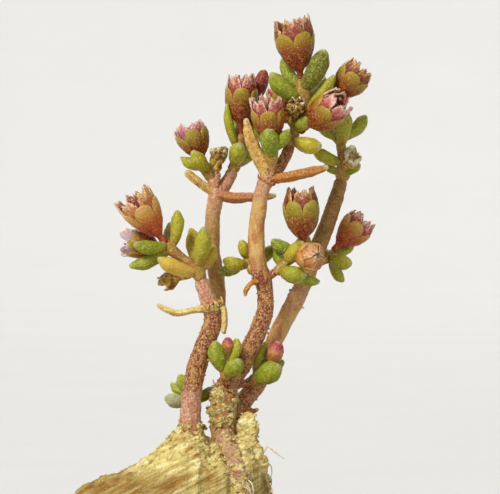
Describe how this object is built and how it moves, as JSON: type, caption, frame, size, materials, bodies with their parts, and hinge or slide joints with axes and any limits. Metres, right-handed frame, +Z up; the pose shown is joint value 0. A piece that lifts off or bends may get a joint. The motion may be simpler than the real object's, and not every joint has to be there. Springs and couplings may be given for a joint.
{
  "type": "potted crassula",
  "caption": "Small flowering succulent with paired fleshy leaves and urn-shaped flowers on knotted stems, rooted in a lump of sandy ground in a plain clay pot.",
  "frame": {"origin": "centre of the pot's underside, on the surface that it stands on", "axes": "+Z up along the pot's axis; -Y is the side that shows the plant best; the plant's leafy crown leans towards +X"},
  "size_m": [0.07, 0.07, 0.136],
  "materials": {
    "terracotta": "plain unglazed clay, matt",
    "soil": "rough, crumbly",
    "sandy_ground": "rough pale crust with root strands",
    "stem": "papillose, golden flecks, satin",
    "leaf": "fleshy, fine glistening papillae",
    "calyx": "fleshy, fine glistening papillae",
    "bud": "fleshy, satin",
    "petal": "thin, frayed tips, satin",
    "dried_flower": "papery, matt"
  },
  "bodies": {
    "root": {"bud_back_small": "bud", "bud_low_left": "bud", "bud_low_right": "bud", "calyx_back_left": "calyx", "calyx_back_right": "calyx", "calyx_centre": "calyx", "calyx_crown_back": "calyx", "calyx_crown_front": "calyx", "calyx_crown_right": "calyx", "calyx_left": "calyx", "calyx_left_low": "calyx", "calyx_right_side": "calyx", "calyx_side_front": "calyx", "calyx_side_right": "calyx", "calyx_top": "calyx", "dried_back_mid": "dried_flower", "dried_crown_dry": "dried_flower", "dried_left_back": "dried_flower", "dried_right_top": "dried_flower", "ground_clod": "sandy_ground", "leaves_back_left": "leaf", "leaves_back_right": "leaf", "leaves_basal": "leaf", "leaves_bud_left": "leaf", "leaves_bud_right": "leaf", "leaves_centre": "leaf", "leaves_crown": "leaf", "leaves_left_head": "leaf", "leaves_right_side": "leaf", "leaves_right_top": "leaf", "leaves_side_left": "leaf", "leaves_side_right": "leaf", "petals_back_left": "petal", "petals_back_right": "petal", "petals_centre": "petal", "petals_crown_back": "petal", "petals_crown_front": "petal", "petals_crown_right": "petal", "petals_left": "petal", "petals_left_low": "petal", "petals_right_side": "petal", "petals_side_front": "petal", "petals_side_right": "petal", "petals_top": "petal", "pot": "terracotta", "potting_soil": "soil", "stem_back": "stem", "stem_left": "stem", "stem_middle": "stem", "stem_right": "stem"}
  },
  "joints": []
}
